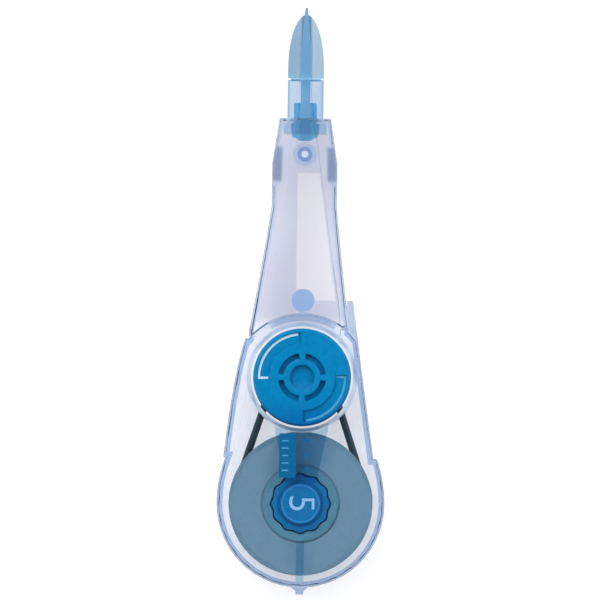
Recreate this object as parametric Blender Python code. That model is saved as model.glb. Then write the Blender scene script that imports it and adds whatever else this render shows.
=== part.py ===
"""Correction tape roller: a clear teardrop case with a leaf-shaped transfer head, a supply reel,
a take-up reel and a rubber belt that drives one from the other.

The roller lies on its back: +Z is up along the reel axes, +Y runs from the tail to the tip,
and +X is to the right when the front is seen with the tip upwards. The origin is under the
middle of the roller, on the plane of its back face. Sizes below are in millimetres.
"""

import math

import bmesh
import bpy
from mathutils import Matrix, Vector

MM = 0.001

# Clearances
FIT_GAP = 0.25          # between pieces that are assembled and don't move on each other
RUNNING_GAP = 0.2       # radial gap of a reel on its axle
SIDE_GAP = 0.3          # between a turning piece and what it passes

# Places along the roller, from the supply axle
REEL_CLEARANCE = 0.99   # full supply roll to the take-up disc, seen from the front
NOSE_REACH = 72.0       # supply axle to the case's nose end
NOSE_TO_BOSS = 6.7      # nose end to the hollow boss under the head
HEAD_OVERHANG = 21.0    # nose end to the tip of the tape

# Tape and rolls
TAPE_WIDTH = 5.0
TAPE_THICKNESS = 0.15   # about three times the real film, so that it stays a solid strip
SUPPLY_ROLL_RADIUS = 13.45
CORE_RADIUS = 7.05
CORE_WALL = 1.3
SPENT_ROLL_RADIUS = 5.5

# Belt drive
BELT_DIAMETER = 1.33
SUPPLY_PITCH_RADIUS = 12.33
TAKEUP_PITCH_RADIUS = 4.93
PULLEY_WIDTH = 2.4
PULLEY_LIP = 0.3        # thickness of a pulley's thin rims
PULLEY_RIM = 0.67       # a rim stands out of the belt's centre line by this

# Reels
SPLINE_COUNT = 12
SPLINE_HEIGHT = 0.4
HUB_CAP_RADIUS = 3.9
HUB_CAP_THICKNESS = 0.6
HUB_CAP_STEM_RADIUS = 2.4
HUB_CAP_STEM_LENGTH = 1.2
AXLE_RADIUS = 1.7
DRUM_RADIUS = 4.6
DISC_RADIUS = 9.16
DISC_CHAMFER = 0.45
DISC_STEM_RADIUS = 2.6
DISC_STEM_LENGTH = 2.1
DISC_RECESS_RADIUS = 2.35
DISC_RECESS_DEPTH = 1.0
SLOT_INNER_RADIUS = 3.45
SLOT_OUTER_RADIUS = 4.5
SLOT_DEPTH = 1.2
SLOT_SPAN = 74.0        # degrees of each of the four slots
TURN_MARK_INNER_RADIUS = 6.2
TURN_MARK_OUTER_RADIUS = 8.4
TURN_MARK_DEPTH = 0.4
TURN_MARK_SPAN = 92.0   # degrees
TURN_MARK_MIDDLE = 138.0

# Case
PLATE = 1.2             # front and back plates over the reels
WALL = 1.1              # side walls round the reels
NECK_PLATE = 1.0
NECK_WALL = 0.9
GRIP_WALL = 1.7         # thicker neck wall beside the boss
BACK_GAP = 0.5          # back plate to the pulleys
REEL_HEADROOM = 2.2     # top of the tape to the front plate
NECK_INSET_BACK = 1.8   # the neck's back stands off the table by this
NECK_INSET_FRONT = 0.8  # the neck's front lies below the front plate by this
DISC_SINK = 0.5         # the take-up disc's face lies below the front plate by this
WINDOW_GAP = 0.37       # round the take-up disc
SPLIT_SHARE = 0.55      # height of the case's split line as a share of its depth
ROLL_ROOM = 1.15        # full supply roll to the bowl's wall
BOWL_STRETCH = 4.3      # upper half of the bowl is an ellipse this much taller than its radius
EDGE_ROUND = 0.7        # rounded outer edges of both plates
TAIL_TAB_LENGTH = 1.3
TAIL_TAB_WIDTH = 1.5
TAIL_GUSSET_WIDTH = 3.8
SHOULDER_BELOW_AXLE = 1.1   # the shoulder's round is struck this far behind the take-up axle
DISC_TO_BULKHEAD = 1.34
LEFT_WALL_TOP_ROOM = 1.54   # the walls' places are measured from the take-up disc's rim
LEFT_WALL_BEND_ROOM = 3.54
RIGHT_WALL_TOP_ROOM = 0.18
LEFT_WALL_LEDGE = 0.55      # the left wall's top stands out past the shoulder
SIDE_TAB_RISE = 2.4         # the right wall runs on past the shoulder by this
WALL_FOOT_RISE = 8.5        # the straight walls end this far above the supply axle
LEFT_WALL_FOOT_STEP = 1.1   # the walls meet the bowl inside its radius by these
RIGHT_WALL_FOOT_STEP = 2.2
NECK_HALF_WIDTH = 6.1
NOSE_HALF_WIDTH = 4.8
TAPER_LENGTH = 8.5      # nose end to the parallel part of the neck
PARALLEL_LENGTH = 8.0
NECK_LEFT_FLARE = 3.9   # the neck widens towards the reels by these
NECK_RIGHT_FLARE = 2.6
NECK_FOOT_DROP = 3.2    # the neck's flare ends this far behind the shoulder's top
NECK_OVERLAP = 3.6      # the neck's cavity reaches this far into the bay
BULKHEAD_HALF_WIDTH = 6.5
BULKHEAD_THICKNESS = 1.5
POST_RADIUS = 2.15
POST_WEB = 0.25         # post to bulkhead
BOSS_RADIUS = 2.24
BOSS_BORE_RADIUS = 1.15
BOSS_PIN_RADIUS = 0.75
BOSS_PIN_LENGTH = 4.0
GRIP_WALL_START = 5.3   # below the nose end
GRIP_WALL_END = 12.0
RIB_WIDTH = 0.6
RIB_HEIGHT = 0.25
RIB_HALF_SPACING = 6.1
COVER_RIB_DEPTH = 0.5
ARM_TOP_HALF_WIDTH = 4.85
ARM_FOOT_HALF_WIDTH = 3.2
ARM_DROP = 0.87         # the arm's corners lie this far behind the window
ARM_FOOT_RISE = 1.5     # the arm's taper ends this far outside the hub cap
WINDOW_CHAMFER = 0.6
PAD_RING_WIDTH = 0.5
THUMB_PANEL_DEPTH = 0.35

# Head and its sleeve
SLEEVE_HALF_WIDTH = 3.36
SLEEVE_WALL = 0.5
SLEEVE_OVERHANG = 7.2   # beyond the nose end
SLEEVE_FLANGE_HALF_WIDTH = 4.0
SLEEVE_FLANGE_LENGTH = 2.2
NOSE_WALL = 0.7
HEAD_PLATE = 0.6
HEAD_PLAY = 0.15        # round the head in its sleeve
BLADE_HALF_THICKNESS = 0.875
BLADE_TIP_HALF_THICKNESS = 0.25
BLADE_TAPER_LENGTH = 7.6
LEAF_STRAIGHT = 1.8     # straight foot of each leaf before it curves to the tip
LEAF_TIP_SETBACK = 1.36 # the leaf's point lies this far behind the blade's tip
BLOCK_HALF_WIDTH = 2.15
BLOCK_LENGTH = 3.9
COLLAR_HALF_WIDTH = 2.7
COLLAR_LENGTH = 2.4
FOOT_HALF_WIDTH = 1.0
FOOT_SHOULDER_HALF_WIDTH = 1.9

# Derived sizes of the case
WINDOW_RADIUS = DISC_RADIUS + WINDOW_GAP
BOWL_RADIUS = SUPPLY_ROLL_RADIUS + ROLL_ROOM + WALL
BOWL_RISE = BOWL_RADIUS + BOWL_STRETCH
SHOULDER_RADIUS = DISC_RADIUS + SHOULDER_BELOW_AXLE + DISC_TO_BULKHEAD + BULKHEAD_THICKNESS
AXLE_SPACING = SUPPLY_ROLL_RADIUS + DISC_RADIUS + REEL_CLEARANCE
ARM_TOP_RISE = AXLE_SPACING - WINDOW_RADIUS - ARM_DROP
LEFT_WALL_FOOT = BOWL_RADIUS - LEFT_WALL_FOOT_STEP
RIGHT_WALL_FOOT = BOWL_RADIUS - RIGHT_WALL_FOOT_STEP
NECK_LEFT_FOOT = NECK_HALF_WIDTH + NECK_LEFT_FLARE
NECK_RIGHT_FOOT = NECK_HALF_WIDTH + NECK_RIGHT_FLARE
LEFT_WALL_TOP = DISC_RADIUS + LEFT_WALL_TOP_ROOM
LEFT_WALL_BEND = DISC_RADIUS + LEFT_WALL_BEND_ROOM
RIGHT_WALL_TOP = DISC_RADIUS + RIGHT_WALL_TOP_ROOM

# Derived places
TAIL_REACH = BOWL_RADIUS + TAIL_TAB_LENGTH
TIP_REACH = NOSE_REACH + HEAD_OVERHANG
SUPPLY_Y = (TAIL_REACH - TIP_REACH) / 2
TAKEUP_Y = SUPPLY_Y + AXLE_SPACING
NOSE_Y = SUPPLY_Y + NOSE_REACH
BOSS_Y = NOSE_Y - NOSE_TO_BOSS
TIP_Y = SUPPLY_Y + TIP_REACH
TAIL_Y = SUPPLY_Y - TAIL_REACH
SHOULDER_Y = TAKEUP_Y - SHOULDER_BELOW_AXLE
SHOULDER_TOP_Y = SHOULDER_Y + SHOULDER_RADIUS
POST_Y = SHOULDER_TOP_Y + POST_WEB + POST_RADIUS
SIDE_TAB_Y = SHOULDER_TOP_Y + SIDE_TAB_RISE
NECK_FOOT_Y = SHOULDER_TOP_Y - NECK_FOOT_DROP

# Derived heights
PULLEY_Z = PLATE + BACK_GAP
BELT_Z = PULLEY_Z + PULLEY_WIDTH / 2
TAPE_Z = PULLEY_Z + PULLEY_WIDTH + SIDE_GAP
TAPE_TOP = TAPE_Z + TAPE_WIDTH
COVER_Z = TAPE_TOP + REEL_HEADROOM
DEPTH = COVER_Z + PLATE
SPLIT_Z = DEPTH * SPLIT_SHARE
NECK_BACK = NECK_INSET_BACK
NECK_FLOOR = NECK_BACK + NECK_PLATE
NECK_TOP = DEPTH - NECK_INSET_FRONT
NECK_CEILING = NECK_TOP - NECK_PLATE
HUB_TOP = TAPE_TOP + SIDE_GAP + FIT_GAP
DISC_Z = TAPE_TOP + SIDE_GAP
DISC_TOP = DEPTH - DISC_SINK
LEAF_FRONT_Z = TAPE_TOP + HEAD_PLAY
LEAF_BACK_Z = TAPE_Z - HEAD_PLAY - HEAD_PLATE
HEAD_TOP = LEAF_FRONT_Z + HEAD_PLATE
OVERRUN = 1.0           # cutters reach this far past what they cut

ROUND = 56              # facets of a large circle
SMALL_ROUND = 28


# Outlines

def arc(centre, radius, start, end, steps):
    """Points on a circle, or on an ellipse where radius is a pair, from one angle to another in degrees."""
    rx, ry = radius if isinstance(radius, tuple) else (radius, radius)
    turns = [math.radians(start + (end - start) * i / steps) for i in range(steps + 1)]
    return [(centre[0] + rx * math.cos(t), centre[1] + ry * math.sin(t)) for t in turns]


def bend(start, control, end, steps):
    """Points on the smooth bend that leaves start towards control and reaches end from it."""
    points = []
    for i in range(steps + 1):
        t = i / steps
        points.append(tuple((1 - t) ** 2 * a + 2 * t * (1 - t) * b + t * t * c
                            for a, b, c in zip(start, control, end)))
    return points


def offset(outline, distance):
    """A closed counter-clockwise outline moved inwards by a distance."""
    moved = []
    for i, here in enumerate(outline):
        before, after = Vector(outline[i - 1]), Vector(outline[(i + 1) % len(outline)])
        along_in = (Vector(here) - before).normalized()
        along_out = (after - Vector(here)).normalized()
        normal_in = Vector((-along_in.y, along_in.x))
        normal_out = Vector((-along_out.y, along_out.x))
        mitre = (normal_in + normal_out).normalized()
        moved.append(tuple(Vector(here) + mitre * (distance / max(mitre.dot(normal_in), 0.5))))
    return moved


def ribbon(path, thickness):
    """The closed outline of a strip of one thickness along an open path."""
    left, right = [], []
    for i, here in enumerate(path):
        before, after = Vector(path[max(i - 1, 0)]), Vector(path[min(i + 1, len(path) - 1)])
        along = (after - before).normalized()
        side = Vector((-along.y, along.x)) * thickness / 2
        left.append(tuple(Vector(here) + side))
        right.append(tuple(Vector(here) - side))
    return right + left[::-1]


def mirrored(points):
    """The same outline reflected left to right, still counter-clockwise."""
    return [(-x, y) for x, y in reversed(points)]


# Solids

def mesh_object(name, build):
    """A mesh object in millimetres from a function that fills a bmesh."""
    shape = bmesh.new()
    build(shape)
    bmesh.ops.recalc_face_normals(shape, faces=shape.faces)
    mesh = bpy.data.meshes.new(name)
    shape.to_mesh(mesh)
    shape.free()
    obj = bpy.data.objects.new(name, mesh)
    bpy.context.scene.collection.objects.link(obj)
    return obj


def prism(name, outline, low, high):
    """An outline extruded from one height to another."""
    def build(shape):
        face = shape.faces.new([shape.verts.new((x, y, low)) for x, y in outline])
        raised = bmesh.ops.extrude_face_region(shape, geom=[face])["geom"]
        lifted = [v for v in raised if isinstance(v, bmesh.types.BMVert)]
        bmesh.ops.translate(shape, verts=lifted, vec=(0, 0, high - low))
    return mesh_object(name, build)


def rounded_prism(name, outline, low, high, rounded_end):
    """An outline extruded between two heights, with the edge rounded at its "low" or "high" end."""
    levels = [(0, low), (0, high)]
    if rounded_end == "low":
        levels = edge_levels(low, 1) + [(0, high)]
    if rounded_end == "high":
        levels = [(0, low)] + edge_levels(high, -1)[::-1]

    def build(shape):
        rings = []
        for inset, z in levels:
            points = offset(outline, inset) if inset else outline
            rings.append([shape.verts.new((x, y, z)) for x, y in points])
        shape.faces.new(rings[0])
        shape.faces.new(rings[-1])
        count = len(outline)
        for lower, upper in zip(rings, rings[1:]):
            for i in range(count):
                k = (i + 1) % count
                shape.faces.new((lower[i], lower[k], upper[k], upper[i]))
    return mesh_object(name, build)


def edge_levels(plane, inwards, steps=3):
    """Insets and heights that round an edge off, from the flat plane to the upright side."""
    levels = []
    for i in range(steps + 1):
        t = math.pi / 2 * i / steps
        levels.append((EDGE_ROUND * (1 - math.sin(t)), plane + inwards * EDGE_ROUND * (1 - math.cos(t))))
    return levels


def turned(name, profile, steps=ROUND):
    """A closed profile of (radius, height) points turned about the Z axis."""
    def build(shape):
        rings = []
        for i in range(steps):
            t = 2 * math.pi * i / steps
            rings.append([shape.verts.new((r * math.cos(t), r * math.sin(t), z)) for r, z in profile])
        count = len(profile)
        for i, ring in enumerate(rings):
            following = rings[(i + 1) % steps]
            for j in range(count):
                k = (j + 1) % count
                shape.faces.new((ring[j], following[j], following[k], ring[k]))
        bmesh.ops.remove_doubles(shape, verts=shape.verts, dist=1e-5)
    return mesh_object(name, build)


def cylinder(name, centre, radius, low, high, steps=SMALL_ROUND):
    return prism(name, arc(centre, radius, 0, 360 - 360 / steps, steps - 1), low, high)


def boolean(target, tools, operation):
    """Cuts or joins other solids into the target and removes them."""
    for tool in tools:
        modifier = target.modifiers.new(tool.name, "BOOLEAN")
        modifier.operation = operation
        modifier.object = tool
        modifier.solver = "EXACT"
    graph = bpy.context.evaluated_depsgraph_get()
    shaped = bpy.data.meshes.new_from_object(target.evaluated_get(graph))
    target.modifiers.clear()
    target.data = shaped
    for tool in tools:
        bpy.data.objects.remove(tool)
    return target


def cut(target, *tools):
    return boolean(target, tools, "DIFFERENCE")


def join(target, *tools):
    return boolean(target, tools, "UNION")


# Finishes

def moulded(name, colour, roughness, alpha=1.0, transmission=0.0):
    material = bpy.data.materials.new(name)
    material.use_nodes = True
    shader = material.node_tree.nodes["Principled BSDF"]
    shader.inputs["Base Color"].default_value = (*colour, 1.0)
    shader.inputs["Roughness"].default_value = roughness
    shader.inputs["Metallic"].default_value = 0.0
    shader.inputs["Alpha"].default_value = alpha
    shader.inputs["Transmission Weight"].default_value = transmission
    return material


SMOOTH_ANGLE = math.radians(35)


def place(obj, material, parent=None):
    """Turns a finished solid to metres, gives it its material and hangs it on its axis."""
    obj.data.transform(Matrix.Scale(MM, 4))
    obj.data.materials.clear()
    obj.data.materials.append(material)
    obj.data.shade_smooth()
    obj.data.set_sharp_from_angle(angle=SMOOTH_ANGLE)
    obj.parent = parent
    return obj


def axis_empty(name, y):
    empty = bpy.data.objects.new(name, None)
    empty.location = (0, y * MM, 0)
    bpy.context.scene.collection.objects.link(empty)
    return empty


# Case outlines

def bay_outline():
    """The reel bay from above: shoulder arc, two side walls and the round bowl."""
    wall_foot = SUPPLY_Y + WALL_FOOT_RISE
    bowl_angle = math.degrees(math.asin(WALL_FOOT_RISE / BOWL_RISE))
    right_x = right_wall_x(SHOULDER_Y + SHOULDER_RADIUS * 0.64)
    shoulder_right = math.degrees(math.acos(right_x / SHOULDER_RADIUS))
    shoulder_left = math.degrees(math.acos((LEFT_WALL_LEDGE - LEFT_WALL_TOP) / SHOULDER_RADIUS))
    ledge_y = SHOULDER_Y + SHOULDER_RADIUS * math.sin(math.radians(shoulder_left))
    left_top = (-LEFT_WALL_TOP, ledge_y)
    left_bend = (-LEFT_WALL_BEND, ledge_y - (ledge_y - wall_foot) / 4)
    supply = (0, SUPPLY_Y)
    return (
        arc((0, SHOULDER_Y), SHOULDER_RADIUS, shoulder_right, shoulder_left, 18)
        + bend(left_top, left_bend, (-LEFT_WALL_FOOT, wall_foot), 6)
        + arc(supply, (BOWL_RADIUS, BOWL_RISE), 180 - bowl_angle, 180, 4)
        + arc(supply, BOWL_RADIUS, 180, 360, 28)[1:]
        + arc(supply, (BOWL_RADIUS, BOWL_RISE), 0, bowl_angle, 4)[1:]
        + [(RIGHT_WALL_FOOT, wall_foot)]
    )


def right_wall_x(y):
    """Outside of the straight right wall at one place along the roller."""
    share = (SIDE_TAB_Y - y) / (SIDE_TAB_Y - SUPPLY_Y - WALL_FOOT_RISE)
    return RIGHT_WALL_TOP + share * (RIGHT_WALL_FOOT - RIGHT_WALL_TOP)


def side_tab_outline():
    """The right wall's free end, which runs on past the shoulder along the neck."""
    low = NECK_FOOT_Y - NECK_OVERLAP
    return [(NECK_RIGHT_FOOT - NECK_WALL, low), (right_wall_x(low), low),
            (RIGHT_WALL_TOP, SIDE_TAB_Y), (RIGHT_WALL_TOP - WALL, SIDE_TAB_Y)]


def neck_outline(wall, grip_wall, end_wall):
    """The neck from above, with its walls taken off: parallel grip, tapered nose and flared foot."""
    foot = NECK_FOOT_Y
    buried = foot - NECK_OVERLAP
    parallel_top = NOSE_Y - TAPER_LENGTH
    parallel_foot = parallel_top - PARALLEL_LENGTH
    grip_top, grip_foot = NOSE_Y - GRIP_WALL_START, NOSE_Y - GRIP_WALL_END

    def half_width(y):
        share = max(0.0, (y - parallel_top) / TAPER_LENGTH)
        return NECK_HALF_WIDTH - share * (NECK_HALF_WIDTH - NOSE_HALF_WIDTH)

    def side(foot_x):
        hollow = (NECK_HALF_WIDTH + 0.44 * (foot_x - NECK_HALF_WIDTH) - wall, (parallel_foot + foot) / 2)
        flare = bend((foot_x - wall, foot), hollow, (NECK_HALF_WIDTH - wall, parallel_foot), 6)
        grip = []
        if grip_wall > wall:
            ramp = grip_wall - wall
            grip = [(half_width(grip_foot) - wall, grip_foot - ramp),
                    (half_width(grip_foot) - grip_wall, grip_foot),
                    (half_width(grip_top) - grip_wall, grip_top),
                    (half_width(grip_top) - wall, grip_top + ramp / 2)]
        else:
            grip = [(half_width(parallel_top) - wall, parallel_top)]
        end = NOSE_Y - end_wall
        return [(foot_x - wall, buried)] + flare + grip + [(half_width(end) - wall, end)]

    left = [(-x, y) for x, y in side(NECK_LEFT_FOOT)]
    return side(NECK_RIGHT_FOOT) + left[::-1]


def shell_blank(name, low, high, neck_low, neck_high, rounded_end):
    """One half of the case before it is hollowed: reel bay, neck and the wall's free end."""
    return join(
        rounded_prism(name, bay_outline(), low, high, rounded_end),
        rounded_prism("neck", neck_outline(0, 0, 0), neck_low, neck_high, rounded_end),
        prism("side_tab", side_tab_outline(), neck_low + EDGE_ROUND, neck_high - EDGE_ROUND),
        prism("tail", tail_outline(), neck_low + EDGE_ROUND, neck_high - EDGE_ROUND),
    )


def tail_outline():
    """The gusset and small tab at the tail, started inside the bowl's wall."""
    gusset, tab = TAIL_GUSSET_WIDTH / 2, TAIL_TAB_WIDTH / 2
    root = SUPPLY_Y - BOWL_RADIUS
    step = TAIL_Y + TAIL_TAB_LENGTH / 2
    return [(-tab, TAIL_Y), (tab, TAIL_Y), (tab, step), (gusset, root + WALL / 4),
            (gusset, root + WALL / 2), (-gusset, root + WALL / 2), (-gusset, root + WALL / 4), (-tab, step)]


def bulkhead_outline():
    """The curved wall that keeps the take-up reel out of the neck, between the two tape passages."""
    outer = SHOULDER_RADIUS
    inner = outer - BULKHEAD_THICKNESS
    reach = math.degrees(math.asin(BULKHEAD_HALF_WIDTH / outer))
    centre = (0, SHOULDER_Y)
    return arc(centre, outer, 90 - reach, 90 + reach, 14) + arc(centre, inner, 90 + reach, 90 - reach, 14)


def rectangle(x0, y0, x1, y1):
    return [(x0, y0), (x1, y0), (x1, y1), (x0, y1)]


def sleeve_opening(name):
    """The slot in the nose that the head's sleeve passes through."""
    half = SLEEVE_HALF_WIDTH + FIT_GAP
    return prism(name, rectangle(-half, NOSE_Y - NOSE_WALL - OVERRUN, half, NOSE_Y + OVERRUN),
                 NECK_FLOOR, NECK_CEILING)


# Case

def rear_shell():
    """Back half: plate, side walls, bulkhead, post, hollow boss and the two reel axles."""
    shell = shell_blank("rear_shell", 0, SPLIT_Z, NECK_BACK, SPLIT_Z, "low")
    bay = offset(bay_outline(), WALL)
    neck = neck_outline(NECK_WALL, GRIP_WALL, NOSE_WALL)
    cut(shell, prism("bay", bay, PLATE, SPLIT_Z + OVERRUN),
        prism("neck", neck, NECK_FLOOR, SPLIT_Z + OVERRUN), sleeve_opening("opening"))
    boss = cut(cylinder("boss", (0, BOSS_Y), BOSS_RADIUS, NECK_FLOOR - OVERRUN / 2, NECK_CEILING - FIT_GAP),
               cylinder("bore", (0, BOSS_Y), BOSS_BORE_RADIUS, NECK_FLOOR + OVERRUN, NECK_CEILING + OVERRUN))
    web = rectangle(-WALL / 2, SHOULDER_Y + SHOULDER_RADIUS - BULKHEAD_THICKNESS / 2, WALL / 2, POST_Y)
    join(shell,
         prism("bulkhead", bulkhead_outline(), NECK_FLOOR - OVERRUN / 2, NECK_CEILING - FIT_GAP),
         cylinder("post", (0, POST_Y), POST_RADIUS, NECK_FLOOR - OVERRUN / 2, NECK_CEILING - FIT_GAP),
         prism("web", web, NECK_FLOOR - OVERRUN / 2, NECK_CEILING - 2 * FIT_GAP),
         boss,
         cylinder("supply_axle", (0, SUPPLY_Y), AXLE_RADIUS, PLATE / 2, supply_axle_top()),
         cylinder("takeup_axle", (0, TAKEUP_Y), AXLE_RADIUS, PLATE / 2, takeup_axle_top()))
    ribs = []
    for side in (-1, 1):
        x = side * RIB_HALF_SPACING
        low, high = SUPPLY_Y + ARM_TOP_RISE, SHOULDER_Y + SHOULDER_RADIUS * 0.7
        ribs.append(prism("rib", rectangle(x - RIB_WIDTH / 2, low, x + RIB_WIDTH / 2, high),
                          PLATE / 2, PLATE + RIB_HEIGHT))
    return join(shell, *ribs)


def front_shell():
    """Front half: plate with the take-up window, ribs over the supply reel, thumb panel and boss pin."""
    low = SPLIT_Z + FIT_GAP
    shell = shell_blank("front_shell", low, DEPTH, low, NECK_TOP, "high")
    neck = neck_outline(NECK_WALL, GRIP_WALL, NOSE_WALL)
    cut(shell, prism("bay", offset(bay_outline(), WALL), low - OVERRUN, COVER_Z),
        prism("neck", neck, low - OVERRUN, NECK_CEILING), sleeve_opening("opening"))
    cut(shell, window_cutter(),
        prism("thumb_panel", thumb_panel_outline(), NECK_TOP - THUMB_PANEL_DEPTH, NECK_TOP + OVERRUN))
    rib_low, rib_high = COVER_Z - COVER_RIB_DEPTH, COVER_Z + PLATE / 2
    pad = cut(cylinder("pad", (0, SUPPLY_Y), HUB_CAP_RADIUS + PAD_RING_WIDTH, rib_low, rib_high, ROUND),
              cylinder("pad_hole", (0, SUPPLY_Y), HUB_CAP_RADIUS, rib_low - OVERRUN, COVER_Z, ROUND))
    tail_rib = rectangle(-TAIL_TAB_WIDTH / 2, SUPPLY_Y - BOWL_RADIUS + WALL / 2,
                         TAIL_TAB_WIDTH / 2, SUPPLY_Y - CORE_RADIUS)
    return join(shell, prism("arm", arm_outline(), rib_low, rib_high), pad,
                prism("tail_rib", tail_rib, rib_low, rib_high),
                cylinder("boss_pin", (0, BOSS_Y), BOSS_PIN_RADIUS, NECK_CEILING - BOSS_PIN_LENGTH,
                         NECK_CEILING + NECK_PLATE / 2))


def window_cutter():
    """The take-up window with its bevelled rim."""
    flare = WINDOW_CHAMFER + OVERRUN
    cutter = turned("window", [
        (0, COVER_Z - OVERRUN), (WINDOW_RADIUS, COVER_Z - OVERRUN), (WINDOW_RADIUS, DEPTH - WINDOW_CHAMFER),
        (WINDOW_RADIUS + flare, DEPTH + OVERRUN), (0, DEPTH + OVERRUN)])
    cutter.location = (0, TAKEUP_Y, 0)
    return cutter


def arm_outline():
    """The tapered rib that stiffens the front plate between the window and the supply hub."""
    top = SUPPLY_Y + ARM_TOP_RISE
    root = SUPPLY_Y + HUB_CAP_RADIUS
    foot = root + ARM_FOOT_RISE
    reach = math.degrees(math.asin(ARM_TOP_HALF_WIDTH / WINDOW_RADIUS))
    under_window = arc((0, TAKEUP_Y), WINDOW_RADIUS + PAD_RING_WIDTH, 270 + reach, 270 - reach, 8)
    left = [(-ARM_TOP_HALF_WIDTH, top), (-ARM_FOOT_HALF_WIDTH, foot), (-ARM_FOOT_HALF_WIDTH, root)]
    return left + mirrored(left) + under_window


def thumb_panel_outline():
    """The shallow flat sunk into the neck's front, straight on its left and flared on its right."""
    top, foot = BOSS_Y - BOSS_RADIUS - NECK_PLATE, POST_Y
    left = -POST_RADIUS * 0.6
    return [(left, foot), (NECK_RIGHT_FOOT - 3.5 * NECK_WALL, foot), (NECK_HALF_WIDTH / 3, top), (left, top)]


# Head

def head_sleeve():
    """Clear sleeve that is held in the nose by its flange and guides the head's stem."""
    low, high = LEAF_BACK_Z - HEAD_PLAY - SLEEVE_WALL, HEAD_TOP + HEAD_PLAY + SLEEVE_WALL
    flange_top = NOSE_Y - NOSE_WALL - FIT_GAP / 2
    flange_foot = flange_top - SLEEVE_FLANGE_LENGTH
    end = NOSE_Y + SLEEVE_OVERHANG
    wide = SLEEVE_FLANGE_HALF_WIDTH
    flange = prism("flange", rectangle(-wide, flange_foot, wide, flange_top),
                   NECK_FLOOR + FIT_GAP / 2, NECK_CEILING - FIT_GAP / 2)
    tube = prism("head_sleeve", rectangle(-SLEEVE_HALF_WIDTH, flange_foot, SLEEVE_HALF_WIDTH, end), low, high)
    inner = SLEEVE_HALF_WIDTH - SLEEVE_WALL
    return cut(join(tube, flange),
               prism("bore", rectangle(-inner, flange_foot - OVERRUN, inner, end + OVERRUN),
                     low + SLEEVE_WALL, high - SLEEVE_WALL))


def blade_tip_y():
    return TIP_Y - TAPE_THICKNESS - HEAD_PLAY


def stem_foot_y():
    return BOSS_Y + BOSS_RADIUS + FIT_GAP


def blade_outline():
    """The blade on edge: parallel stem, then a taper to the rounded tip that the tape runs over."""
    tip = blade_tip_y()
    shoulder = tip - BLADE_TAPER_LENGTH
    nose = arc((0, tip - BLADE_TIP_HALF_THICKNESS), BLADE_TIP_HALF_THICKNESS, 0, 180, 6)
    return ([(-BLADE_HALF_THICKNESS, stem_foot_y()), (BLADE_HALF_THICKNESS, stem_foot_y()),
             (BLADE_HALF_THICKNESS, shoulder)] + nose + [(-BLADE_HALF_THICKNESS, shoulder)])


def leaf_outline():
    """One guide leaf: straight foot, then a quarter ellipse on each side to a point near the blade's tip."""
    foot = NOSE_Y + SLEEVE_OVERHANG + FIT_GAP
    curve_foot = foot + LEAF_STRAIGHT
    rise = blade_tip_y() - LEAF_TIP_SETBACK - curve_foot
    return ([(-SLEEVE_HALF_WIDTH, foot), (SLEEVE_HALF_WIDTH, foot)]
            + arc((0, curve_foot), (SLEEVE_HALF_WIDTH, rise), 0, 180, 28))


def stem_plate_outline():
    """The stem's wide end from the front: block, collar and the foot that stands on the boss."""
    foot = stem_foot_y()
    collar = foot + (COLLAR_HALF_WIDTH - FOOT_SHOULDER_HALF_WIDTH)
    block = collar + COLLAR_LENGTH
    top = block + BLOCK_LENGTH
    right = [(FOOT_HALF_WIDTH, foot), (FOOT_SHOULDER_HALF_WIDTH, collar - FIT_GAP),
             (COLLAR_HALF_WIDTH - FIT_GAP, collar), (COLLAR_HALF_WIDTH, block), (BLOCK_HALF_WIDTH, block),
             (BLOCK_HALF_WIDTH, top - FIT_GAP), (BLOCK_HALF_WIDTH - FIT_GAP, top)]
    return right + mirrored(right)


def transfer_head():
    """Blade, two guide leaves and the stem's plates, moulded in one piece."""
    overlap = HEAD_PLATE / 2
    head = prism("transfer_head", blade_outline(), LEAF_BACK_Z + overlap, LEAF_FRONT_Z + overlap)
    plates = []
    for low in (LEAF_BACK_Z, LEAF_FRONT_Z):
        for outline in (leaf_outline(), stem_plate_outline()):
            plates.append(prism("plate", outline, low, low + HEAD_PLATE))
    return join(head, *plates)


# Reels, each modelled about its own axle

def supply_axle_top():
    return HUB_TOP - HUB_CAP_STEM_LENGTH - 2 * FIT_GAP


def takeup_axle_top():
    return DISC_Z - DISC_STEM_LENGTH - 2 * FIT_GAP


def groove_floor(pitch_radius):
    return pitch_radius - BELT_DIAMETER / 2 - FIT_GAP


def splines(mean_radius):
    """The wavy outline of the hub's splines."""
    steps = SPLINE_COUNT * 6
    points = []
    for i in range(steps):
        t = 2 * math.pi * i / steps
        r = mean_radius + SPLINE_HEIGHT / 2 * math.cos(SPLINE_COUNT * t)
        points.append((r * math.cos(t), r * math.sin(t)))
    return points


def hub_spline_radius():
    return CORE_RADIUS - CORE_WALL - SPLINE_HEIGHT / 2 - FIT_GAP


def supply_pulley():
    """Grooved belt pulley with the splined hub that carries the tape core."""
    top = PULLEY_Z + PULLEY_WIDTH
    floor = groove_floor(SUPPLY_PITCH_RADIUS)
    rim = SUPPLY_PITCH_RADIUS + PULLEY_RIM
    bore = AXLE_RADIUS + RUNNING_GAP
    pulley = turned("supply_pulley", [
        (bore, PULLEY_Z), (rim, PULLEY_Z), (rim, PULLEY_Z + PULLEY_LIP),
        (floor, PULLEY_Z + 2 * PULLEY_LIP), (floor, top - 2 * PULLEY_LIP),
        (rim, top - PULLEY_LIP), (rim, top), (bore, top)])
    hub = cut(prism("hub", splines(hub_spline_radius()), top - PULLEY_LIP, HUB_TOP),
              cylinder("bore", (0, 0), bore, PULLEY_Z, HUB_TOP + OVERRUN),
              cylinder("cap_seat", (0, 0), HUB_CAP_STEM_RADIUS + FIT_GAP,
                       HUB_TOP - HUB_CAP_STEM_LENGTH - FIT_GAP, HUB_TOP + OVERRUN))
    return join(pulley, hub)


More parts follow.
